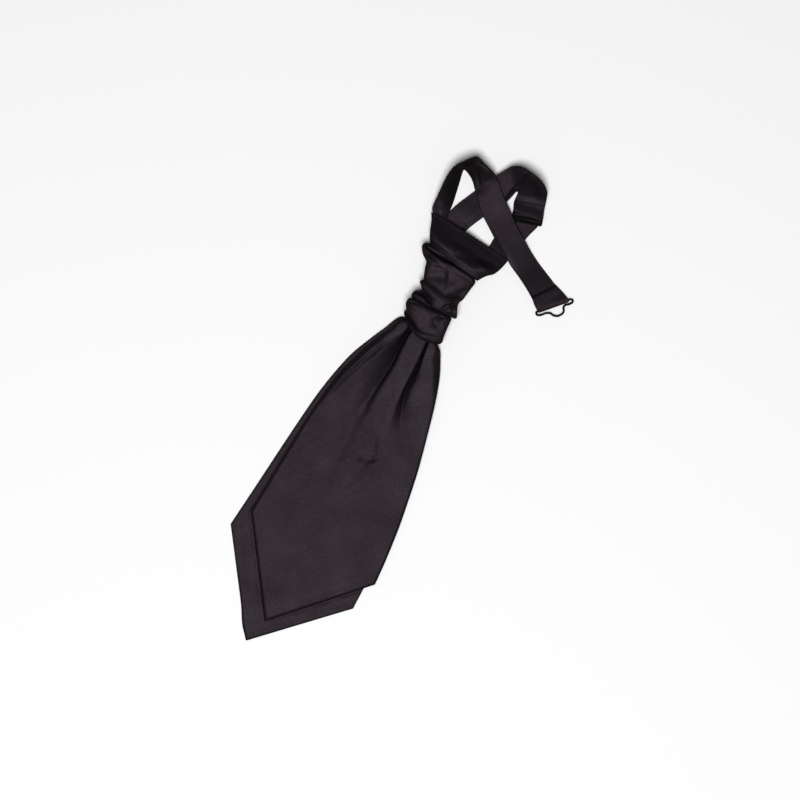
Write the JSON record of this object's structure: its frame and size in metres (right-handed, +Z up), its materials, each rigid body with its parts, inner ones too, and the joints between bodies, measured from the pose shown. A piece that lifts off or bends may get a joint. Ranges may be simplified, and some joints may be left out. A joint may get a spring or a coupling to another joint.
{
  "type": "pre-tied cravat",
  "caption": "Pre-tied satin cravat with pleated layered tails, a gathered mock knot and an adjustable neck strap that closes with a wire hook and eye, lying face up.",
  "frame": {"origin": "on the surface that the cravat lies on, under the middle of the knot", "axes": "+Y from the tails' points up to the neck straps, +X to the right seen from above, +Z up from the surface"},
  "size_m": [0.175, 0.5476, 0.0268],
  "materials": {
    "tail_satin": "black satin, fine weave, soft sheen",
    "knot_satin": "black satin, gathered, soft sheen",
    "strap_satin": "black satin strap, stitched hems",
    "black_wire": "black enamel on wire",
    "black_plastic": "black moulded plastic"
  },
  "bodies": {
    "root": {"back_blade": "tail_satin", "front_blade": "tail_satin", "knot_wrap": "knot_satin", "ruched_sleeve": "knot_satin", "collar_band": "knot_satin", "hook_strap": "strap_satin", "wire_hook": "black_wire", "eye_strap": "strap_satin", "adjuster_strap": "strap_satin", "strap_slider": "black_plastic", "strap_eye": "black_wire"}
  },
  "joints": []
}
